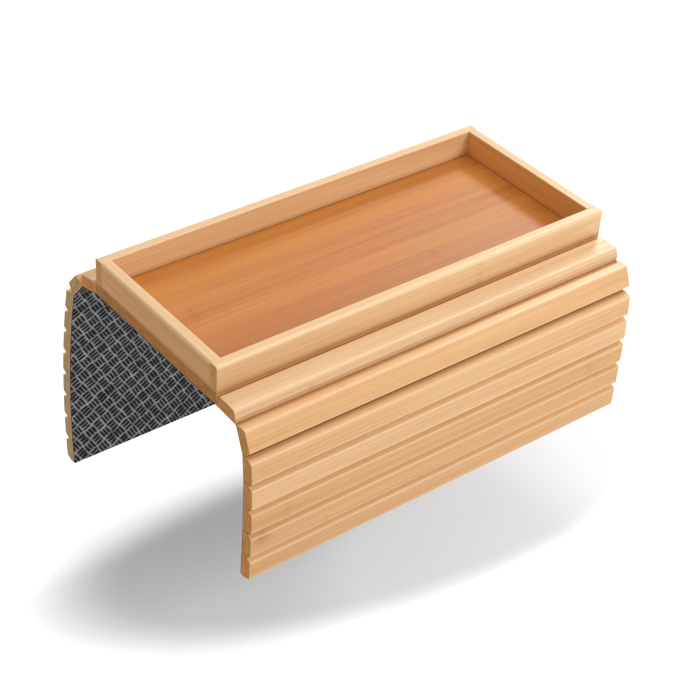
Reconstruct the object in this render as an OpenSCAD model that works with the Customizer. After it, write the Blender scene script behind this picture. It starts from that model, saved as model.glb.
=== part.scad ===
// Sofa arm tray: a rimmed tray on a wide base board, with a wing of hinged slats on each side.
// The wings drape over the sofa arm. One woven backing is bonded under the board and the slats,
// and it is the hinge between them. X runs along the slats, Y across the arm and Z up. The front
// wing hangs at -Y. The origin is the middle of the backing's underside, which lies on the arm.

/* [Tray] */
// Length of the tray, the base board and every slat
tray_l = 380; // [240:5:480]
// Width of the tray across the arm
tray_w = 168; // [120:2:240]
// Height of the rim above the base board
rim_h = 23.5; // [18:0.5:40]
// Thickness of the rim walls
rim_t = 9; // [7:0.5:12]
// Radius of the rim's outer top edges
rim_r = 2.2; // [0.4:0.2:3]
// Radius of the rim's inner top edges
rim_inner_r = 0.6; // [0.2:0.2:1.6]

/* [Base board] */
// Thickness of the base board
base_t = 11; // [6:0.5:16]

/* [Slats] */
// Distance from one fold line to the next
slat_pitch = 23.7; // [16:0.1:40]
// Thickness of a slat
slat_t = 11; // [6:0.5:14]
// Height of the upright lower part of a slat's sides
slat_land = 4.4; // [2:0.1:5]
// How far the upper part of each side slopes in towards the outer face
slat_bevel = 2.8; // [1.2:0.1:4]
// Radius of a slat's outer edges
slat_r = 0.8; // [0.3:0.1:1.5]
// Gap between neighbouring pieces at the fold line
slat_gap = 0.4; // [0.2:0.1:0.8]

/* [Backing] */
// Thickness of the woven backing
backing_t = 0.9; // [0.5:0.1:1.5]
// Width of the crease left free at each fold line
crease = 0.7; // [0.6:0.05:0.95]
// How far the backing stops short of the slat ends
backing_inset = 0.5; // [0:0.5:4]

/* [Wings] */
// Slats in the front wing
front_slats = 7; // [4:1:9]
// Slats in the back wing, which reaches further down the sofa arm
back_slats = 10; // [4:1:12]
// Bend at the front wing's first four fold lines, in degrees
front_bends = [3, 65, 18, 4]; // [0:1:70]
// Bend at each of the front wing's other fold lines, in degrees
front_settle = 1; // [0:0.5:5]
// Bend at the back wing's first three fold lines, in degrees
back_bends = [14, 36, 28]; // [0:1:70]
// Bend at each of the back wing's other fold lines, in degrees
back_settle = 2; // [0:0.5:5]

/* [Corner dowels] */
// Radius of a dowel
dowel_r = 2; // [1.5:0.25:3]
// Length of a dowel
dowel_l = 20; // [14:1:30]
// Depth of a dowel in the long wall, which stays blind on the outside
dowel_seat = 6; // [4:0.5:6.5]
// Height of the lower dowel above the base board
dowel_low = 7; // [5:0.5:10]
// Height from the lower dowel to the upper one
dowel_rise = 9.5; // [6:0.5:10]

/* [Base screws] */
// Radius of a screw's shank
screw_r = 1.75; // [1.25:0.25:2]
// Overall length of a screw
screw_l = 25; // [20:1:28]
// Radius of a screw's countersunk head
screw_head_r = 3.5; // [3:0.25:4.5]
// Height of a screw's countersunk head
screw_head_h = 2.2; // [1.5:0.1:3]
// Distance from the tray's middle to the outer screws of a long wall
screw_x = 135; // [40:5:200]
// Distance from the tray's middle to each screw of a short wall
screw_y = 45; // [15:5:60]

/* [Hidden] */
// Clearance round a dowel or a screw, and past its tip
fit = 0.04;
tip_room = 0.5;
// Clear of the faces that a cut passes through
eps = 0.1;
// Driver cross in a screw head: width of a slot, and its depth
cross_w = 0.9;
cross_d = 1.4;
// Length of a screw's point
screw_tip_l = 4;
edge_steps = 4;
$fn = 48;

fold_z = backing_t / 2;
base_top = backing_t + base_t;
side_y = tray_w / 2;
end_x = tray_l / 2;
short_wall_l = tray_w - 2 * rim_t;
backing_l = tray_l - 2 * backing_inset;
// Middle of the rim walls' thickness, seen from the tray's middle
rim_mid_x = end_x - rim_t / 2;
rim_mid_y = side_y - rim_t / 2;

bevel_h = slat_t - slat_land;
slat_side_angle = atan(slat_bevel / bevel_h);

FRONT_SLATS = [for (i = [1 : front_slats]) str("front_slat_", i)];
BACK_SLATS = [for (i = [1 : back_slats]) str("back_slat_", i)];
FRONT_BACKINGS = [for (i = [1 : front_slats]) str("front_backing_", i)];
BACK_BACKINGS = [for (i = [1 : back_slats]) str("back_backing_", i)];

// Points of an arc from angle a0 to a1
function arc(c, r, a0, a1) =
    [for (k = [0 : edge_steps]) let (a = a0 + (a1 - a0) * k / edge_steps) c + r * [cos(a), sin(a)]];

// How far below level slat i leans, counted from 1 at the base board
function lean(bends, settle, i) =
    i == 0 ? 0 : lean(bends, settle, i - 1) + (i <= len(bends) ? bends[i - 1] : settle);

// Fold line that slat i hangs from, as [distance outward, height]
function fold_line(bends, settle, i) =
    i == 1
        ? [side_y, fold_z]
        : let (a = lean(bends, settle, i - 1))
          fold_line(bends, settle, i - 1) + slat_pitch * [cos(a), -sin(a)];

// Draws a section of [distance along Y, height] along X
module along_x(l) {
    rotate([90, 0, 90]) linear_extrude(l, center = true) children();
}

// Puts a section drawn from the fold line outward where slat i of a wing hangs
module in_wing(bends, settle, i, l) {
    place = fold_line(bends, settle, i);
    translate([0, place.x, place.y]) rotate([-lean(bends, settle, i), 0, 0]) along_x(l) children();
}

module slat_section() {
    v0 = backing_t / 2;
    v1 = v0 + slat_t;
    near_u = slat_gap / 2;
    far_u = slat_pitch - slat_gap / 2;
    // Middle of the edge radius, set in from the side that slopes
    inset = slat_bevel * (bevel_h - slat_r) / bevel_h + slat_r / cos(slat_side_angle);
    polygon(concat(
        [[near_u, v0], [far_u, v0], [far_u, v0 + slat_land]],
        arc([far_u - inset, v1 - slat_r], slat_r, slat_side_angle, 90),
        arc([near_u + inset, v1 - slat_r], slat_r, 90, 180 - slat_side_angle),
        [[near_u, v0 + slat_land]]
    ));
}

module backing_section() {
    translate([crease / 2, -backing_t / 2]) square([slat_pitch - crease, backing_t]);
}

// What a radius r takes off the corner at the origin, where the material lies at -X and -Y
module corner_cut(r) {
    difference() {
        translate([-r, -r]) square(r + eps);
        translate([-r, -r]) circle(r);
    }
}

// Section of a rim wall with its outer face at the origin and its body inward, at -X
module rim_section() {
    difference() {
        translate([-rim_t, 0]) square([rim_t, rim_h]);
        translate([0, rim_h]) corner_cut(rim_r);
        translate([-rim_t, rim_h]) mirror([1, 0]) corner_cut(rim_inner_r);
    }
}

// Places of the dowels and screws

module at_dowels() {
    for (sx = [-1, 1], sy = [-1, 1], up = [0, 1])
        translate([sx * rim_mid_x, sy * (side_y - rim_t + dowel_seat), base_top + dowel_low + up * dowel_rise])
            rotate([sy * 90, 0, 0]) children();
}

module at_screws() {
    for (sx = [-1, 0, 1], sy = [-1, 1])
        translate([sx * screw_x, sy * rim_mid_y, backing_t]) children();
    for (sx = [-1, 1], sy = [-1, 1])
        translate([sx * rim_mid_x, sy * screw_y, backing_t]) children();
}

module dowel_holes() {
    at_dowels() translate([0, 0, -tip_room]) cylinder(h = dowel_l + 2 * tip_room, r = dowel_r + fit);
}

module screw_holes() {
    at_screws() {
        translate([0, 0, -eps]) cylinder(h = screw_l + tip_room + eps, r = screw_r + fit);
        cylinder(h = screw_head_h, r1 = screw_head_r + fit, r2 = screw_r + fit);
        translate([0, 0, -eps]) cylinder(h = eps, r = screw_head_r + fit);
    }
}

// Rim walls

module long_wall() {
    difference() {
        translate([0, side_y, base_top]) along_x(tray_l) rim_section();
        dowel_holes();
        screw_holes();
    }
}

module short_wall() {
    difference() {
        translate([end_x, 0, base_top])
            rotate([90, 0, 0]) linear_extrude(short_wall_l, center = true) rim_section();
        dowel_holes();
        screw_holes();
    }
}

module front_rim() {
    color("burlywood") mirror([0, 1, 0]) long_wall();
}

module back_rim() {
    color("burlywood") long_wall();
}

module left_rim() {
    color("tan") mirror([1, 0, 0]) short_wall();
}

module right_rim() {
    color("tan") short_wall();
}

// Base board and what fastens it

module base_board() {
    color("peru") difference() {
        translate([-end_x, -side_y + slat_gap / 2, backing_t]) cube([tray_l, tray_w - slat_gap, base_t]);
        screw_holes();
    }
}

module corner_dowels() {
    color("wheat") at_dowels() cylinder(h = dowel_l, r = dowel_r);
}

module base_screws() {
    color("silver") at_screws() difference() {
        union() {
            cylinder(h = screw_head_h, r1 = screw_head_r, r2 = screw_r);
            cylinder(h = screw_l - screw_tip_l, r = screw_r);
            translate([0, 0, screw_l - screw_tip_l]) cylinder(h = screw_tip_l, r1 = screw_r, r2 = fit);
        }
        for (turn = [0, 90])
            rotate([0, 0, turn]) translate([-screw_r, -cross_w / 2, -eps]) cube([2 * screw_r, cross_w, cross_d + eps]);
    }
}

// Backing and wings

module centre_backing() {
    color("dimgray") translate([-backing_l / 2, -side_y + crease / 2, 0])
        cube([backing_l, tray_w - crease, backing_t]);
}

module front_slat(i) {
    color("burlywood") mirror([0, 1, 0]) in_wing(front_bends, front_settle, i, tray_l) slat_section();
}

module front_backing(i) {
    color("dimgray") mirror([0, 1, 0]) in_wing(front_bends, front_settle, i, backing_l) backing_section();
}

module back_slat(i) {
    color("burlywood") in_wing(back_bends, back_settle, i, tray_l) slat_section();
}

module back_backing(i) {
    color("dimgray") in_wing(back_bends, back_settle, i, backing_l) backing_section();
}

front_rim();
back_rim();
left_rim();
right_rim();
base_board();
corner_dowels();
base_screws();
centre_backing();
for (i = [1 : front_slats]) front_slat(i);
for (i = [1 : front_slats]) front_backing(i);
for (i = [1 : back_slats]) back_slat(i);
for (i = [1 : back_slats]) back_backing(i);
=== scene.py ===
"""Looks of the sofa arm tray: bamboo walls, board and slats, and a woven backing that bends at every
fold line."""
import itertools
import math
import random

import bmesh
import bpy
from mathutils import Matrix, Vector


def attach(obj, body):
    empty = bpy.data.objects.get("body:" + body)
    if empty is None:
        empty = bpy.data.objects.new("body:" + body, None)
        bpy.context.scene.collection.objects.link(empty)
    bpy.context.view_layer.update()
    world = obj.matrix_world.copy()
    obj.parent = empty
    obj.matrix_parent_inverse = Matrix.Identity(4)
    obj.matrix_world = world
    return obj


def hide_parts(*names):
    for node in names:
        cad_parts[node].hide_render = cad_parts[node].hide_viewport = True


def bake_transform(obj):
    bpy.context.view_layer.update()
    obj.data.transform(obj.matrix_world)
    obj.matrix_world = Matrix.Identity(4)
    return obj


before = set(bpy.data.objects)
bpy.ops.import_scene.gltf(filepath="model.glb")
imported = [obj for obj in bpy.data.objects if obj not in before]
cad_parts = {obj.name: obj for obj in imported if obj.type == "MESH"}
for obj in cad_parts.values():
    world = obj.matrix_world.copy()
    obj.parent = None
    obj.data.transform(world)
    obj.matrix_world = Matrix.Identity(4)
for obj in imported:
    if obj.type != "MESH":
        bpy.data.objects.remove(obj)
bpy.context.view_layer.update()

MM = 0.001

# Sizes of the frame's solids, in mm
TRAY_L, TRAY_W = 380.0, 168.0
RIM_H, RIM_T, RIM_R, RIM_INNER_R = 23.5, 9.0, 2.2, 0.6
BASE_T = 11.0
SLAT_PITCH, SLAT_T, SLAT_GAP = 23.7, 11.0, 0.4
SLAT_LAND, SLAT_BEVEL, SLAT_R = 4.4, 2.8, 0.8
BACKING_T, BACKING_INSET, CREASE = 0.9, 0.5, 0.7
WINGS = {
    "front": {"sign": -1, "count": 7, "bends": [3, 65, 18, 4], "settle": 1.0},
    "back": {"sign": 1, "count": 10, "bends": [14, 36, 28], "settle": 2.0},
}
BASE_TOP = BACKING_T + BASE_T
END_X, SIDE_Y = TRAY_L / 2, TRAY_W / 2


# Node graphs

class Graph:
    """Builds the nodes of a material or of the world."""

    def __init__(self, owner):
        self.owner = owner
        owner.use_nodes = True
        self.tree = owner.node_tree
        self.tree.nodes.clear()

    def node(self, kind, inputs=None, **settings):
        made = self.tree.nodes.new(kind)
        for key, value in settings.items():
            setattr(made, key, value)
        for key, value in (inputs or {}).items():
            self.put(made.inputs[key], value)
        return made

    def put(self, socket, value):
        if isinstance(value, bpy.types.NodeSocket):
            self.tree.links.new(value, socket)
        else:
            socket.default_value = value

    def attribute(self, name, kind):
        return self.node("ShaderNodeAttribute", attribute_name=name).outputs[kind]

    def flat(self):
        """Place on the backing when it lies flat."""
        return self.node("ShaderNodeUVMap", uv_map="Flat").outputs[0]

    def place(self):
        """Place in the object's own space."""
        return self.node("ShaderNodeTexCoord").outputs["Object"]

    def math(self, operation, a, b=0.0, clamp=False):
        return self.node("ShaderNodeMath", {0: a, 1: b}, operation=operation, use_clamp=clamp).outputs[0]

    def weighted(self, *pairs):
        """The sum of value times share over all pairs."""
        parts = [self.math("MULTIPLY", value, share) for value, share in pairs]
        total = parts[0]
        for part in parts[1:]:
            total = self.math("ADD", total, part)
        return total

    def mix(self, factor, a, b):
        """Colour a where the factor is 0 and colour b where it is 1."""
        # Sockets 6 and 7 hold the two colours
        made = self.node("ShaderNodeMix", {0: factor, 6: a, 7: b}, data_type="RGBA", clamp_factor=True)
        return made.outputs[2]

    def stretched(self, vector, scale):
        return self.node("ShaderNodeVectorMath", {0: vector, 1: scale}, operation="MULTIPLY").outputs[0]

    def length(self, vector):
        return self.node("ShaderNodeVectorMath", {0: vector}, operation="LENGTH").outputs["Value"]

    def joined(self, **parts):
        """A vector from any of X, Y and Z."""
        return self.node("ShaderNodeCombineXYZ", parts).outputs[0]

    def noise(self, vector, scale, detail=2.0, roughness=0.5, distortion=0.0):
        """Noise in cells of 1 / scale metres along each axis, from about 0.25 to 0.75."""
        made = self.node("ShaderNodeTexNoise", {"Vector": self.stretched(vector, scale), "Scale": 1.0,
                                                "Detail": detail, "Roughness": roughness,
                                                "Distortion": distortion})
        return made.outputs[0]

    def chance(self, key, dimensions):
        """A random value from 0 to 1 for each key."""
        made = self.node("ShaderNodeTexWhiteNoise", {"Vector": key}, noise_dimensions=dimensions)
        return made.outputs["Value"]

    def band(self, value, low, high, to_low=0.0, to_high=1.0):
        """Goes smoothly from to_low, where the value is low, to to_high, where it is high."""
        made = self.node("ShaderNodeMapRange", {"Value": value, "From Min": low, "From Max": high,
                                                "To Min": to_low, "To Max": to_high},
                         interpolation_type="SMOOTHSTEP")
        return made.outputs[0]

    def seen(self):
        """1 for rays that show a thing itself, straight, mirrored or through glass, and 0 for the rest."""
        path = self.node("ShaderNodeLightPath").outputs
        mirrored = self.math("MAXIMUM", path["Is Glossy Ray"], path["Is Transmission Ray"])
        return self.math("MAXIMUM", path["Is Camera Ray"], mirrored)

    def coat(self, colour, roughness, gloss=0.5, metal=0.0, relief=None, strength=0.0, depth=0.0):
        """Finishes a material with this surface. relief is a height from 0 to 1, and depth is in metres."""
        surface = self.node("ShaderNodeBsdfPrincipled", {"Base Color": colour, "Roughness": roughness,
                                                         "Specular IOR Level": gloss, "Metallic": metal})
        if relief is not None:
            bump = self.node("ShaderNodeBump", {"Strength": strength, "Distance": depth, "Height": relief})
            self.put(surface.inputs["Normal"], bump.outputs[0])
        return self.finish(surface.outputs[0])

    def finish(self, surface, output="ShaderNodeOutputMaterial"):
        self.node(output, {"Surface": surface})
        return self.owner


def new_material(name):
    return Graph(bpy.data.materials.new(name))


def srgb(r, g, b):
    """A colour given in 0 to 255, as Blender's linear values."""
    def line(c):
        c /= 255
        return c / 12.92 if c <= 0.04045 else ((c + 0.055) / 1.055) ** 2.4
    return (line(r), line(g), line(b), 1.0)


def grey(value):
    return (value, value, value, 1.0)


def tinted(colour, tint):
    return [c * t for c, t in zip(colour, tint)] + [1.0]


# Bamboo, in metres

STRIP_W = 0.0205        # width of one strip in a laminated face
STRIP_WANDER = 0.0012   # how far a strip's edge strays
SEAM_W = 0.00022
KNUCKLE_STEP = 0.31     # distance between the knuckles of a strip
KNUCKLE_W = 0.0022
PIECE_STEP = 0.1        # each piece takes its wood from a layer of its own, this far from the next
PIECE_LIFT = 0.03       # keeps a piece clear of the layers' edges

# Cells of noise per metre along a piece, across it and through it
WARP, BROAD = (4.0, 30.0, 30.0), (2.4, 46.0, 46.0)
STREAKS, LINES, FIBRES = (5.0, 330.0, 330.0), (6.0, 760.0, 760.0), (14.0, 1500.0, 1500.0)
DARK_FIBRES, KNUCKLE_GRAIN = (9.0, 2300.0, 2300.0), (260.0, 700.0, 700.0)
KNOT_EDGE, KNOT_SPECKS = (300.0, 500.0, 500.0), (420.0, 900.0, 900.0)
KNOT_SHAPE = (105.0, 125.0, 125.0)      # one over the knot's half sizes, per metre
END_CELLS = (1.0, 1050.0, 1250.0)
END_LAYERS, END_PATCHES = (1.0, 90.0, 420.0), (1.0, 160.0, 160.0)

# Shares of the deep colour's red, green and blue that darker marks keep
FIBRE_TINT, BUNDLE_TINT = (0.62, 0.62, 0.62), (0.5, 0.5, 0.5)
KNOT_TINT, SPECK_TINT = (0.80, 0.66, 0.50), (0.42, 0.30, 0.22)
# The painted shade in grooves and at the feet of parts keeps these shares
SHADE_TINT = (0.38, 0.27, 0.20)
# Colour of the painted highlight on edges
HIGHLIGHT_COLOUR = srgb(238, 204, 160)

BAMBOO_ROUGHNESS, ROUGHNESS_SPREAD = 0.40, 0.14


def strips(g, at, y, z):
    """A tone from 0 to 1 for each strip of a face, and 1 on the seams between them."""
    across = g.math("ADD", y, g.math("MULTIPLY", g.noise(at, WARP), STRIP_WANDER))
    strip = g.math("FLOOR", g.math("DIVIDE", across, STRIP_W))
    piece = g.math("FLOOR", g.math("DIVIDE", z, PIECE_STEP))
    tone = g.chance(g.joined(X=strip, Y=piece), "2D")
    seam = g.band(g.math("PINGPONG", across, STRIP_W / 2), 0.0, SEAM_W, 1.0, 0.0)
    return tone, seam


def knuckles(g, at, x, tone, broad):
    """1 on the knuckles, which only some of the strips show, each at a place of its own."""
    place = g.math("ADD", g.math("DIVIDE", x, KNUCKLE_STEP), g.math("MULTIPLY", tone, 7.31))
    place = g.math("ADD", place, g.math("MULTIPLY", broad, 0.012))
    near = g.math("MULTIPLY", g.math("PINGPONG", place, 0.5), KNUCKLE_STEP)
    ring = g.band(near, KNUCKLE_W * 0.4, KNUCKLE_W * 2.4, 1.0, 0.0)
    grained = g.math("MULTIPLY", ring, g.band(g.noise(at, KNUCKLE_GRAIN), 0.42, 0.62))
    return g.math("MULTIPLY", grained, g.band(tone, 0.62, 0.66))


def knot(g, at):
    """1 in the knot of the piece, and 1 on the knot's dark specks."""
    away = g.node("ShaderNodeVectorMath", {0: at, 1: g.attribute("knot_at", "Vector")}, operation="SUBTRACT")
    away = g.length(g.stretched(away.outputs[0], KNOT_SHAPE))
    away = g.math("ADD", away, g.math("MULTIPLY", g.noise(at, KNOT_EDGE), 0.6))
    inside = g.band(away, 0.4, 1.6, 1.0, 0.0)
    specks = g.band(g.noise(at, KNOT_SPECKS, 2.0, 0.6, 1.5), 0.48, 0.60)
    return inside, g.math("MULTIPLY", inside, specks)


def bamboo(name, pale, deep, strip_tone=0.07, fibre=0.28, gloss=0.5):
    """Satin bamboo: long fibres along the piece, laminated strips, faint knuckles, and painted light: a
    painted highlight makes edges paler and painted shade makes grooves darker.
    """
    g = new_material(name)
    at = g.attribute("wood_at", "Vector")
    light_and_shade = g.attribute("light_and_shade", "Fac")
    x, y, z = g.node("ShaderNodeSeparateXYZ", {0: at}).outputs
    fibres = g.noise(at, FIBRES, 3.0, 0.6)
    streaks = g.noise(at, STREAKS, 3.0, 0.55, 0.4)
    lines = g.noise(at, LINES)
    broad = g.noise(at, BROAD)
    tone, seam = strips(g, at, y, z)
    inside_knot, specks = knot(g, at)
    # Share of the deep colour
    deepness = g.weighted(
        (g.band(streaks, 0.36, 0.68), 0.30),
        (g.band(broad, 0.34, 0.66), 0.34),
        (g.band(fibres, 0.36, 0.72), fibre * 0.6),
        (g.band(lines, 0.44, 0.64), fibre * 0.9),
        (g.math("SUBTRACT", tone, 0.5), strip_tone * 4.0),
        (knuckles(g, at, x, tone, broad), 0.50),
        (seam, 0.22),
    )
    colour = g.mix(g.math("SUBTRACT", deepness, 0.12, clamp=True), pale, deep)
    colour = g.mix(g.math("MULTIPLY", inside_knot, 0.35), colour, tinted(deep, KNOT_TINT))
    colour = g.mix(g.math("MULTIPLY", specks, 0.8), colour, tinted(deep, SPECK_TINT))
    dark_fibres = g.band(g.noise(at, DARK_FIBRES), 0.58, 0.74)
    colour = g.mix(g.math("MULTIPLY", dark_fibres, fibre * 0.5), colour, tinted(deep, FIBRE_TINT))
    # Painted light: above 0 the mark is a painted highlight that turns edges and up-facing faces paler, and
    # below 0 it is painted shade that darkens grooves and the feet of parts
    highlight_share = g.math("MULTIPLY", g.math("MAXIMUM", light_and_shade, 0.0), 0.5)
    colour = g.mix(highlight_share, colour, HIGHLIGHT_COLOUR)
    shade_share = g.math("MULTIPLY", g.math("MAXIMUM", g.math("MULTIPLY", light_and_shade, -1.0), 0.0), 0.5)
    colour = g.mix(shade_share, colour, tinted(deep, SHADE_TINT))
    rough = g.math("MULTIPLY", g.math("SUBTRACT", streaks, 0.5), ROUGHNESS_SPREAD)
    rough = g.math("ADD", rough, BAMBOO_ROUGHNESS)
    relief = g.math("SUBTRACT", g.weighted((fibres, 0.7), (streaks, 0.5)), g.math("MULTIPLY", seam, 0.8))
    return g.coat(colour, rough, gloss, relief=relief, strength=0.28, depth=0.00012)


def bamboo_end(name, pale, deep):
    """Cut end of the bamboo: dark bundles of fibres in thin layers, denser in some patches."""
    g = new_material(name)
    _, y, z = g.node("ShaderNodeSeparateXYZ", {0: g.attribute("wood_at", "Vector")}).outputs
    face = g.joined(Y=y, Z=z)
    cells = g.node("ShaderNodeTexVoronoi", {"Vector": g.stretched(face, END_CELLS), "Scale": 1.0})
    bundles = g.band(cells.outputs["Distance"], 0.16, 0.42, 1.0, 0.0)
    layers = g.noise(face, END_LAYERS)
    patches = g.noise(face, END_PATCHES, 3.0, 0.6)
    deepness = g.weighted((g.band(layers, 0.36, 0.66), 0.5), (patches, 0.5))
    colour = g.mix(deepness, pale, deep)
    marked = g.math("MULTIPLY", bundles, g.band(patches, 0.35, 0.7, 0.25, 0.7))
    colour = g.mix(marked, colour, tinted(deep, BUNDLE_TINT))
    relief = g.math("SUBTRACT", 1.0, bundles)
    return g.coat(colour, 0.75, 0.12, relief=relief, strength=0.3, depth=0.00015)


# Backing

BLOCK_P, BLOCK_Q = 0.0090, 0.0120   # sides of one block of the basket weave, in metres
STRANDS = 3.0           # grooves in a block
WEAVE_TURN = 29.0       # degrees from the slats to the strands
STRAND_STRAY = 0.0016   # how far a strand strays from its straight line, in metres


def basket(g, flat):
    """Blocks of parallel strands that cross in turn.

    Gives 1 in the grooves between the strands, how near the end of its block a point lies, from 0 to 1, and
    a chance value for each strand."""
    turned = g.node("ShaderNodeVectorRotate", {"Vector": flat, "Angle": math.radians(WEAVE_TURN)},
                    rotation_type="Z_AXIS").outputs[0]
    p, q, _ = g.node("ShaderNodeSeparateXYZ", {0: turned}).outputs
    stray = g.math("SUBTRACT", g.noise(flat, (70.0, 70.0, 70.0)), 0.5)
    stray = g.math("MULTIPLY", stray, STRAND_STRAY)
    p = g.math("DIVIDE", g.math("ADD", p, stray), BLOCK_P)
    q = g.math("DIVIDE", g.math("SUBTRACT", q, stray), BLOCK_Q)
    i, j = g.math("FLOOR", p), g.math("FLOOR", q)
    odd = g.math("PINGPONG", g.math("ADD", i, j), 1.0)
    even = g.math("SUBTRACT", 1.0, odd)

    def pick(a, b):
        """a in the even blocks and b in the odd ones."""
        return g.weighted((a, even), (b, odd))

    def from_middle(share):
        """0 where the share is a half, 1 where it is 0 or 1."""
        return g.math("MULTIPLY", g.math("ABSOLUTE", g.math("SUBTRACT", share, 0.5)), 2.0)

    row = g.math("MULTIPLY", pick(q, p), STRANDS)
    block = g.math("ADD", i, g.math("MULTIPLY", j, 3.17))
    chance = g.chance(g.joined(X=g.math("FLOOR", row), Y=block, Z=odd), "3D")
    side = from_middle(g.math("FRACT", row))
    end = from_middle(pick(g.math("FRACT", p), g.math("FRACT", q)))
    end = g.math("ADD", end, g.math("MULTIPLY", g.math("SUBTRACT", chance, 0.5), 0.16))
    groove = g.math("MULTIPLY", g.band(side, 0.34, 0.78, 1.0, 0.0), g.band(end, 0.66, 0.90, 1.0, 0.0))
    return groove, end, chance


def weave(name):
    """Basket weave of vinyl strands, laid diagonally: grey strands with black grooves between them."""
    g = new_material(name)
    flat = g.flat()
    groove, end, chance = basket(g, flat)
    sunk = g.math("POWER", g.math("MAXIMUM", end, 0.0), 4.0)
    arch = g.math("SUBTRACT", 1.0, g.math("MULTIPLY", sunk, 0.35))
    grain = g.noise(flat, (1500.0, 1500.0, 1500.0))
    blotch = g.noise(flat, (110.0, 110.0, 110.0))
    # Strands are paler towards the ends of their blocks, a painted highlight where they cross, and vary with
    # grain and blotches of their own
    light = g.weighted((grain, 0.5), (g.band(end, 0.5, 1.0), 0.45))
    blotch = g.math("SUBTRACT", g.math("MULTIPLY", blotch, 1.5), 0.8)
    light = g.math("ADD", light, blotch, clamp=True)
    strands = g.mix(light, srgb(86, 87, 90), srgb(214, 215, 218))
    black = g.mix(g.math("MULTIPLY", chance, 0.5), srgb(4, 4, 6), srgb(20, 21, 24))
    relief = g.math("SUBTRACT", arch, groove)
    return g.coat(g.mix(groove, strands, black), 0.55, 0.12, relief=relief, strength=0.6, depth=0.0005)


def shaded_glue_side(name):
    """The side of the backing that is glued to the wood, coloured brown as a painted shade where it shows at
    the bottoms of the grooves.
    """
    g = new_material(name)
    tone = g.noise(g.flat(), (500.0, 500.0, 500.0), 3.0)
    colour = g.mix(tone, srgb(140, 98, 58), srgb(176, 130, 84))
    return g.coat(colour, 0.8, 0.15, relief=tone, strength=0.4, depth=0.0002)


def cut_edge(name):
    """The backing's cut edge: dark strand ends."""
    g = new_material(name)
    strands = g.noise(g.flat(), (420.0, 420.0, 420.0), 3.0)
    colour = g.mix(g.band(strands, 0.35, 0.65), srgb(8, 8, 11), srgb(40, 41, 46))
    return g.coat(colour, 0.7, 0.15, relief=strands, strength=0.5, depth=0.0003)


# Fasteners

def steel(name):
    """Zinc, finely brushed."""
    g = new_material(name)
    fine = g.noise(g.place(), (900.0, 900.0, 300.0), 3.0)
    colour = g.mix(fine, srgb(150, 152, 156), srgb(206, 207, 210))
    return g.coat(colour, g.band(fine, 0.3, 0.7, 0.28, 0.46), metal=1.0)


def dowel_wood(name):
    """Raw pale wood with its fibres along the dowel, which lies along Y."""
    g = new_material(name)
    fibres = g.noise(g.place(), (1400.0, 25.0, 1400.0), 3.0)
    colour = g.mix(g.band(fibres, 0.3, 0.7), srgb(226, 196, 150), srgb(190, 150, 100))
    return g.coat(colour, 0.7, relief=fibres, strength=0.3, depth=0.0001)


# Materials of the pieces

SLAT_WOODS = [
    bamboo("slat_bamboo", srgb(227, 181, 128), srgb(203, 147, 88)),
    # Paler, a painted sheen, for the first front slat, which lies almost flat
    bamboo("slat_bamboo_painted_sheen", srgb(229, 194, 152), srgb(206, 162, 116)),
    bamboo("slat_bamboo_gold", srgb(219, 169, 110), srgb(195, 136, 75)),
]
# Which of these each slat has, from the tray outward
SLAT_TONES = {"front": [1, 0, 0, 0, 2, 2, 2], "back": [0, 2, 0, 0, 2, 0, 0, 2, 0, 0]}
RIM_WOOD = bamboo("rim_bamboo", srgb(231, 192, 143), srgb(207, 158, 107))
# The upright faces of the short walls get colours of their own, apart from their top edges: darker on the
# left wall, a painted shade, and paler on the right one, a painted light
SHADED_WALL_WOOD = bamboo("shaded_wall_bamboo", srgb(224, 165, 88), srgb(197, 131, 60), gloss=0.2)
LIT_WALL_WOOD = bamboo("lit_wall_bamboo", srgb(238, 182, 108), srgb(208, 142, 72), gloss=0.3)
BOARD_WOOD = bamboo("board_bamboo", srgb(197, 127, 53), srgb(169, 96, 35), strip_tone=0.05, fibre=0.18)
BOARD_SIDE = bamboo("board_side_bamboo", srgb(222, 170, 112), srgb(196, 140, 84))
RIM_END = bamboo_end("rim_end_grain", srgb(228, 174, 112), srgb(200, 146, 88))
SLAT_END = bamboo_end("slat_end_grain", srgb(224, 162, 94), srgb(194, 132, 70))
PALE_END = bamboo_end("pale_end_grain", srgb(212, 178, 128), srgb(176, 144, 98))
BOARD_END = bamboo_end("board_end_grain", srgb(202, 142, 78), srgb(162, 108, 56))
WEAVE, SHADED_GLUE_SIDE = weave("backing_weave"), shaded_glue_side("backing_shaded_glue_side")
CUT_EDGE = cut_edge("backing_cut_edge")


# Solids drawn from a section. Its points are (across, height, painted light and shade) in mm, going
# counter-clockwise

# The one knot that shows, near the left end of the sixth front slat, as (along, across, height)
KNOT_SLAT, KNOT = ("front", 6), (-180.0, 5.4, 11.4)
NO_KNOT = (0.0, 0.0, -500.0)
LEAST_CORNER = 0.35     # keeps the points of a sharp corner from running away when it is moved in
# The eased ends of a bar get at least this much painted highlight
END_HIGHLIGHT = 0.7
STEEP = 2.0             # a face that rises more than this many times its width is upright


def smooth_by_angle(mesh, degrees=18.0):
    """Smooth faces that stay crisp at the sharper edges."""
    work = bmesh.new()
    work.from_mesh(mesh)
    for face in work.faces:
        face.smooth = True
    for edge in work.edges:
        edge.smooth = len(edge.link_faces) == 2 and edge.calc_face_angle(0.0) < math.radians(degrees)
    work.to_mesh(mesh)
    work.free()


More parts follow.
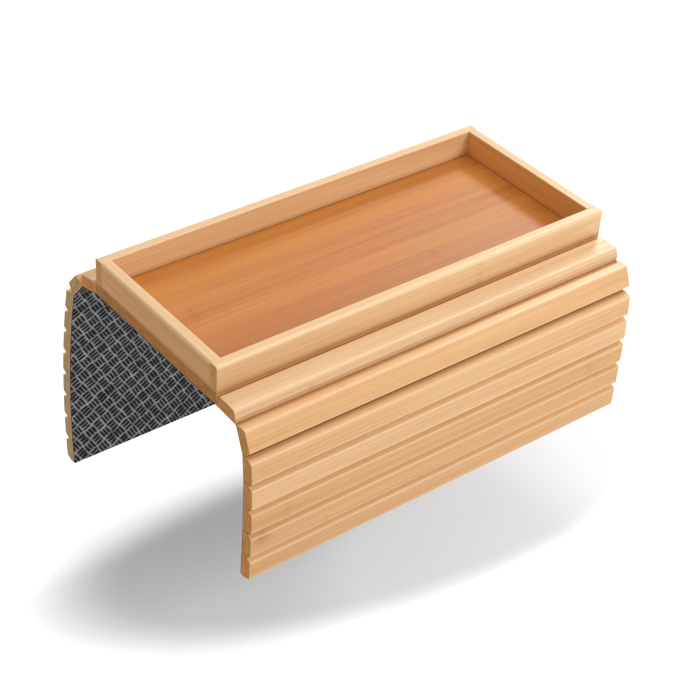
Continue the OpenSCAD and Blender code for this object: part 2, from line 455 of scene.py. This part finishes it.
def new_piece(name, work, materials, crisp=18.0):
    """An object of the finished bmesh, in its colour slot."""
    bmesh.ops.recalc_face_normals(work, faces=work.faces)
    mesh = bpy.data.meshes.new(name)
    work.to_mesh(mesh)
    work.free()
    smooth_by_angle(mesh, crisp)
    for material in materials:
        mesh.materials.append(material)
    piece = bpy.data.objects.new(name, mesh)
    bpy.context.scene.collection.objects.link(piece)
    return piece


def arc(centre, radius, start, end, steps):
    """Points from angle start to end, in degrees, each with the painted highlight of a rounded edge."""
    out = []
    for k in range(steps + 1):
        a = math.radians(start + (end - start) * k / steps)
        out.append((centre[0] + radius * math.cos(a), centre[1] + radius * math.sin(a), 1.0))
    return out


def shrunk(points, by):
    """A convex section moved in by a distance on every side."""
    n = len(points)
    out = []
    for k, (u, v, light_and_shade) in enumerate(points):
        before, after = points[k - 1], points[(k + 1) % n]
        a = Vector((u - before[0], v - before[1])).normalized()
        b = Vector((after[0] - u, after[1] - v)).normalized()
        na, nb = Vector((-a.y, a.x)), Vector((-b.y, b.x))
        corner = na + nb
        corner *= by / max(LEAST_CORNER, corner.dot(na))
        out.append((u + corner.x, v + corner.y, light_and_shade))
    return out


def wood_offset(seed):
    """Where in the wood a piece is cut from, in metres."""
    draw = random.Random(seed)
    along, across = draw.uniform(0.0, 3.0), draw.uniform(0.0, 2.0)
    return Vector((along, across, draw.randrange(1, 60) * PIECE_STEP + PIECE_LIFT))


def bar(name, section, length, end_ease, place, woods, seed, knot_at=NO_KNOT):
    """A straight bar along X with that section.

    place puts a section point where it goes, as (y, z). woods are the materials of the long faces, of the
    ends and of the upright faces."""
    offset = wood_offset(seed)
    half = length / 2
    rings = [(-half, end_ease), (-half + end_ease, 0.0), (half - end_ease, 0.0), (half, end_ease)]
    work = bmesh.new()
    at = work.verts.layers.float_vector.new("wood_at")
    light_and_shade_of = work.verts.layers.float.new("light_and_shade")
    knot_of = work.verts.layers.float_vector.new("knot_at")
    made = []
    for x, inset in rings:
        row = []
        for u, v, light_and_shade in shrunk(section, inset) if inset else section:
            vert = work.verts.new(Vector((x, *place(u, v))) * MM)
            vert[at] = Vector((x, u, v)) * MM + offset
            # The eased end rings carry a painted highlight
            vert[light_and_shade_of] = max(light_and_shade, END_HIGHLIGHT) if inset else light_and_shade
            vert[knot_of] = Vector(knot_at) * MM + offset
            row.append(vert)
        made.append(row)
    n = len(section)
    for a, b in zip(made, made[1:]):
        for k in range(n):
            face = work.faces.new((a[k], a[(k + 1) % n], b[(k + 1) % n], b[k]))
            du, dv = (section[(k + 1) % n][axis] - section[k][axis] for axis in (0, 1))
            face.material_index = 2 if abs(dv) > STEEP * abs(du) else 0
    for row in (made[0], made[-1]):
        work.faces.new(row).material_index = 1
    return new_piece(name, work, woods)


# Walls and board

def rim_section():
    """Outer face at u = 0 and the wall inward, at -u, standing on v = 0."""
    low = 0.32
    # The third values paint shade at the wall's foot and a highlight on its rounded top edges and top face
    points = [(-RIM_T + low, 0.0, -1.0), (-low, 0.0, -1.0), (0.0, low, -1.0), (0.0, 1.6, -0.35)]
    points += [(0.0, 4.0, 0.0), (0.0, RIM_H - RIM_R - 1.6, 0.0)]
    points += arc((-RIM_R, RIM_H - RIM_R), RIM_R, 0, 90, 8)
    points += [(-RIM_R - 1.4, RIM_H, 0.3), (-RIM_T + RIM_INNER_R + 1.2, RIM_H, 0.3)]
    points += arc((-RIM_T + RIM_INNER_R, RIM_H - RIM_INNER_R), RIM_INNER_R, 90, 180, 6)
    points += [(-RIM_T, RIM_H - RIM_INNER_R - 1.4, 0.0), (-RIM_T, 5.0, 0.0)]
    points += [(-RIM_T, 1.4, -0.4), (-RIM_T, low, -1.0)]
    return points


def board_section():
    """The board's middle at u = 0 and its underside at v = 0."""
    ease, w, t = 0.3, SIDE_Y - SLAT_GAP / 2, BASE_T
    # The third values paint shade along the board's edges, on its sides and on its top beside the walls
    side = [(w, ease, -1.0), (w, 2.5, -0.9), (w, t / 2, -0.25), (w, t - 1.6, 0.0), (w, t - ease, -0.5),
            (w - ease, t, -0.9)]
    inner = SIDE_Y - RIM_T
    top = [(inner, t, -0.9), (inner - 2.0, t, -0.4), (inner - 7.0, t, 0.0)]
    half = [(w - ease, 0.0, -1.0)] + side + top
    return half + [(-u, v, light_and_shade) for u, v, light_and_shade in reversed(half)]


def build_long_walls(seeds):
    for name, sign in (("front", -1), ("back", 1)):
        piece = bar(name + "_wall", rim_section(), TRAY_L, 0.35,
                    lambda u, v, s=sign: (s * (SIDE_Y + u), BASE_TOP + v),
                    (RIM_WOOD, RIM_END, RIM_WOOD), next(seeds))
        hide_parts(name + "_rim")
        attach(piece, "tray")


def build_short_walls(seeds):
    # Painted shade darkens the left wall's upright faces, and painted light makes the right wall's paler
    for name, sign, upright_wood in (("left", -1, SHADED_WALL_WOOD), ("right", 1, LIT_WALL_WOOD)):
        piece = bar(name + "_wall", rim_section(), TRAY_W - 2 * RIM_T, 0.16,
                    lambda u, v, s=sign: (-s * (END_X + u), BASE_TOP + v),
                    (RIM_WOOD, RIM_END, upright_wood), next(seeds))
        # The bar is drawn along X, and the wall stands along Y
        piece.data.transform(Matrix.Rotation(math.radians(90), 4, "Z"))
        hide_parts(name + "_rim")
        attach(piece, "tray")


def build_board(seeds):
    piece = bar("floor_board", board_section(), TRAY_L, 0.3, lambda u, v: (u, BACKING_T + v),
                (BOARD_WOOD, BOARD_END, BOARD_SIDE), next(seeds))
    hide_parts("base_board")
    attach(piece, "tray")


# Slats

OPEN_BEND = 20.0       # a fold bent further than this shows the sides of its two slats, in degrees


def bend(wing, i):
    """Bend at fold i of a wing, in degrees."""
    return wing["bends"][i - 1] if i <= len(wing["bends"]) else wing["settle"]


def fold_lines(wing):
    """For each slat: (outward, height) of its fold line in mm and how far it leans, in radians."""
    y, z, lean, out = SIDE_Y, BACKING_T / 2, 0.0, []
    for i in range(1, wing["count"] + 1):
        lean += math.radians(bend(wing, i))
        out.append((y, z, lean))
        y += SLAT_PITCH * math.cos(lean)
        z -= SLAT_PITCH * math.sin(lean)
    return out


def side_light_and_shade(v0, v1, open_groove):
    """Heights on a slat's side with their painted light and shade: an open groove is shaded only at its
    bottom, a closed one up into its bevel, and both turn to a painted highlight near the top edge.
    """
    land = v0 + SLAT_LAND
    if open_groove:
        low = ((v0 + 0.3, -0.8), (v0 + 1.1, -0.2), (land, 0.0), (land + 1.2, 0.0))
    else:
        low = ((v0 + 0.3, -0.9), (land, -0.8), (land + 1.7, -0.5), (land + 2.4, 0.5))
    return low + ((v1 - SLAT_R - 0.9, 0.6),)


def slat_section(near_open, far_open):
    """The fold line at u = 0 and v = 0. The two flags say which of its grooves are open."""
    v0, v1 = BACKING_T / 2, BACKING_T / 2 + SLAT_T
    near, far = SLAT_GAP / 2, SLAT_PITCH - SLAT_GAP / 2
    bevel_h = SLAT_T - SLAT_LAND
    tilt = math.degrees(math.atan2(SLAT_BEVEL, bevel_h))
    inset = SLAT_BEVEL * (bevel_h - SLAT_R) / bevel_h + SLAT_R / math.cos(math.radians(tilt))

    def on_side(height, at_far):
        step = SLAT_BEVEL * max(0.0, height - v0 - SLAT_LAND) / bevel_h
        return far - step if at_far else near + step

    # The third values paint shade at the slat's foot and a highlight on its rounded top edges and the top
    # face beside them
    points = [(near + 0.3, v0, -0.9), (far - 0.3, v0, -0.9)]
    points += [(on_side(h, True), h, w) for h, w in side_light_and_shade(v0, v1, far_open)]
    points += arc((far - inset, v1 - SLAT_R), SLAT_R, tilt, 90, 5)
    points += [(far - inset - 1.0, v1, 0.25), (far - inset - 2.4, v1, 0.0)]
    points += [(near + inset + 2.4, v1, 0.0), (near + inset + 1.0, v1, 0.25)]
    points += arc((near + inset, v1 - SLAT_R), SLAT_R, 90, 180 - tilt, 5)
    points += [(on_side(h, False), h, w) for h, w in reversed(side_light_and_shade(v0, v1, near_open))]
    return points


def hanging(sign, fold):
    """Puts a slat's section points where the slat hangs from its fold line."""
    y0, z0, lean = fold
    c, s = math.cos(lean), math.sin(lean)
    return lambda u, v: (sign * (y0 + u * c + v * s), z0 - u * s + v * c)


def build_slats(seeds):
    for side, wing in WINGS.items():
        for i, fold in enumerate(fold_lines(wing), start=1):
            near_open = bend(wing, i) > OPEN_BEND
            far_open = i < wing["count"] and bend(wing, i + 1) > OPEN_BEND
            wood = SLAT_WOODS[SLAT_TONES[side][i - 1]]
            end_wood = PALE_END if side == "back" and i > 1 else SLAT_END
            piece = bar(f"{side}_bamboo_{i}", slat_section(near_open, far_open), TRAY_L, 0.3,
                        hanging(wing["sign"], fold), (wood, end_wood, wood), next(seeds),
                        KNOT if (side, i) == KNOT_SLAT else NO_KNOT)
            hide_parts(f"{side}_slat_{i}")
            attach(piece, f"{side}_wing_{i}")


# Strips of the backing

BEND_HALF = 0.9        # the sheet bends over this far on each side of a fold line, in mm
BEND_STEPS = 6
COLUMNS = 8            # faces along a strip
SHEET_CRISP = 60.0     # edges of the sheet sharper than this stay crisp, in degrees


def normals_of(line):
    """Upright to the line at each of its points, on the left of its way, as (y, z)."""
    out = []
    for k in range(len(line)):
        a, b = line[max(k - 1, 0)], line[min(k + 1, len(line) - 1)]
        out.append(Vector((-(b[1] - a[1]), b[0] - a[0])).normalized())
    return out


def sheet_strip(name, line, glued_up):
    """A thin closed strip along X that follows line, points of (y, z, distance along the sheet) in mm.

    glued_up says whether the wood lies on the left of the line's way."""
    half_l, half_t = TRAY_L / 2 - BACKING_INSET, BACKING_T / 2
    columns = [-half_l + 2 * half_l * k / COLUMNS for k in range(COLUMNS + 1)]
    normals = normals_of(line)
    work = bmesh.new()
    uv = work.loops.layers.uv.new("Flat")
    flat = {}
    layers = []
    for side in (1, -1):
        grid = []
        for (y, z, s), n in zip(line, normals):
            row = []
            for x in columns:
                vert = work.verts.new(Vector((x, y + side * half_t * n.x, z + side * half_t * n.y)) * MM)
                flat[vert] = (x * MM, s * MM)
                row.append(vert)
            grid.append(row)
        layers.append(grid)
    top, low = layers
    last_row, last_column = len(line) - 1, COLUMNS
    for grid, index in ((top, 1 if glued_up else 0), (low, 0 if glued_up else 1)):
        for r in range(last_row):
            for c in range(last_column):
                corners = (grid[r][c], grid[r][c + 1], grid[r + 1][c + 1], grid[r + 1][c])
                work.faces.new(corners).material_index = index
    for r in range(last_row):
        for c in (0, last_column):
            work.faces.new((top[r][c], top[r + 1][c], low[r + 1][c], low[r][c])).material_index = 2
    for r in (0, last_row):
        for c in range(last_column):
            work.faces.new((top[r][c], top[r][c + 1], low[r][c + 1], low[r][c])).material_index = 2
    for face in work.faces:
        for loop in face.loops:
            loop[uv].uv = flat[loop.vert]
    return new_piece(name, work, (WEAVE, SHADED_GLUE_SIDE, CUT_EDGE), SHEET_CRISP)


def steps_over_fold(back, ahead):
    """Distances from the fold line at which a strip has points, closest together in the bend."""
    in_bend = [BEND_HALF * (2 * k / BEND_STEPS - 1) for k in range(BEND_STEPS + 1)]
    return [-back, -back / 2, -BEND_HALF * 2] + in_bend + [BEND_HALF * 2, ahead / 2, ahead]


def build_backing():
    """One strip over each fold, from the middle of one slat to the middle of the next.

    The first strips start at the tray's middle, and the last ones end with the last slats."""
    for side, wing in WINGS.items():
        sign, lines = wing["sign"], fold_lines(wing)
        before = (1.0, 0.0)
        for i, (y0, z0, lean) in enumerate(lines, start=1):
            after = (math.cos(lean), -math.sin(lean))
            first, last = i == 1, i == len(lines)
            back = SIDE_Y if first else SLAT_PITCH / 2
            ahead = SLAT_PITCH - CREASE / 2 if last else SLAT_PITCH / 2
            start = SIDE_Y + (i - 1) * SLAT_PITCH
            line = []
            for t in steps_over_fold(back, ahead):
                way = before if t < 0 else after
                line.append((sign * (y0 + way[0] * t), z0 + way[1] * t, sign * (start + t)))
            piece = sheet_strip(f"{side}_weave_{i}", line, sign > 0)
            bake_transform(piece)
            nodes = [f"{side}_backing_{i}"] + (["centre_backing"] if first else [])
            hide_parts(*nodes)
            before = after


def dress_fasteners():
    """The dowels and the screws keep their solids."""
    for node, make in (("corner_dowels", dowel_wood), ("base_screws", steel)):
        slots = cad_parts[node].data.materials
        slots.clear()
        slots.append(make(node + "_looks"))


# Camera at the photograph's viewing angle

CAMERA_AT, LOOK_AT = Vector((-0.7512, -0.9202, 0.8097)), Vector((-0.00024, 0.0, -0.0806))
ROLL = math.radians(3.211)
FOCAL_PIXELS, PICTURE_W, SENSOR = 1779.4, 700, 36.0


def build_camera():
    data = bpy.data.cameras.new("camera")
    data.sensor_width = SENSOR
    data.lens = FOCAL_PIXELS * SENSOR / PICTURE_W
    data.clip_start, data.clip_end = 0.05, 50.0
    camera = bpy.data.objects.new("camera", data)
    bpy.context.scene.collection.objects.link(camera)
    back = (CAMERA_AT - LOOK_AT).normalized()
    right = Vector((0.0, 0.0, 1.0)).cross(back).normalized()
    up = back.cross(right)
    camera_x = math.cos(ROLL) * right + math.sin(ROLL) * up
    camera_y = -math.sin(ROLL) * right + math.cos(ROLL) * up
    turn = Matrix((camera_x, camera_y, back)).transposed().to_4x4()
    camera.matrix_world = Matrix.Translation(CAMERA_AT) @ turn
    bpy.context.scene.camera = camera


# Floor and light, in metres and watts

FLOOR_Z, FLOOR_HALF = -0.30, 6.0
# Ellipse on the floor that holds the soft shadow: its middle, half sizes and turn
SHADOW_AT, SHADOW_SIZE, SHADOW_TURN = (0.05, 0.004, FLOOR_Z), (0.29, 0.10, 1.0), math.radians(-11)
# How much the paper glows, a painted light, in the shadow and outside it
SHADOW_LIFT, PAPER_LIFT = 0.08, 0.60
WHITE = grey(1.0)
ROOM_COLOUR, ROOM_STRENGTH = (1.0, 0.985, 0.965, 1.0), 0.46
# Place, target, size and power
LAMPS = {
    "key": ((0.70, -1.45, 1.05), (0.0, 0.0, -0.08), 0.8, 17.5),
    "top": ((0.05, -0.20, 1.70), (0.0, 0.0, 0.0), 0.55, 8.5),
    "sheen": ((1.60, 1.00, 1.50), (0.0, 0.0, 0.0), 0.5, 14.0),
}


def floor_paper(name):
    """White paper that keeps the lamps' soft shadow below the tray and glows, a painted light, beyond an
    ellipse there, which wipes out the shadows that fall outside it.
    """
    g = new_material(name)
    at = g.place()
    tone = g.mix(g.noise(at, (3.0, 3.0, 3.0)), grey(0.86), grey(0.89))
    paper = g.node("ShaderNodeBsdfDiffuse", {"Color": tone})
    # Painted light: the paper glows white outside the shadow's ellipse, where the lamps fade too, and wipes
    # out the shadows that fall there
    from_shadow = g.node("ShaderNodeMapping", {"Vector": at, "Location": SHADOW_AT, "Scale": SHADOW_SIZE,
                                               "Rotation": (0.0, 0.0, SHADOW_TURN)}, vector_type="TEXTURE")
    lift_by = g.band(g.length(from_shadow.outputs[0]), 0.85, 1.3, SHADOW_LIFT, PAPER_LIFT)
    lift = g.node("ShaderNodeEmission", {"Color": WHITE, "Strength": g.math("MULTIPLY", g.seen(), lift_by)})
    both = g.node("ShaderNodeAddShader", {0: paper.outputs[0], 1: lift.outputs[0]})
    # Clear from below, so that the tray's underside can be looked at through the floor
    below = g.node("ShaderNodeNewGeometry").outputs["Backfacing"]
    clear = g.node("ShaderNodeBsdfTransparent")
    shown = g.node("ShaderNodeMixShader", {0: below, 1: both.outputs[0], 2: clear.outputs[0]})
    return g.finish(shown.outputs[0])


def build_floor():
    work = bmesh.new()
    bmesh.ops.create_grid(work, x_segments=4, y_segments=4, size=FLOOR_HALF)
    work.transform(Matrix.Translation((0.0, 0.0, FLOOR_Z)))
    mesh = bpy.data.meshes.new("floor")
    work.to_mesh(mesh)
    work.free()
    mesh.materials.append(floor_paper("floor_paper"))
    floor = bpy.data.objects.new("floor", mesh)
    bpy.context.scene.collection.objects.link(floor)


def build_lamp(name, at, aim, size, power):
    data = bpy.data.lights.new(name, "AREA")
    data.shape, data.size, data.energy = "DISK", size, power
    lamp = bpy.data.objects.new(name, data)
    bpy.context.scene.collection.objects.link(lamp)
    lamp.location = at
    lamp.rotation_mode = "QUATERNION"
    lamp.rotation_quaternion = (Vector(aim) - Vector(at)).to_track_quat("-Z", "Y")


def build_world():
    """A soft room light, and plain white where the room itself is seen."""
    world = bpy.data.worlds.new("studio")
    bpy.context.scene.world = world
    g = Graph(world)
    room = g.node("ShaderNodeBackground", {"Color": ROOM_COLOUR, "Strength": ROOM_STRENGTH})
    white = g.node("ShaderNodeBackground", {"Color": WHITE, "Strength": 1.0})
    shown = g.node("ShaderNodeMixShader", {0: g.seen(), 1: room.outputs[0], 2: white.outputs[0]})
    g.finish(shown.outputs[0], "ShaderNodeOutputWorld")


wood_seeds = itertools.count(11)
build_long_walls(wood_seeds)
build_short_walls(wood_seeds)
build_board(wood_seeds)
build_slats(wood_seeds)
build_backing()
dress_fasteners()
build_camera()
build_floor()
build_world()
for lamp_name, (lamp_at, lamp_aim, lamp_size, lamp_power) in LAMPS.items():
    build_lamp(lamp_name, lamp_at, lamp_aim, lamp_size, lamp_power)
bpy.context.scene.view_settings.view_transform = "Standard"
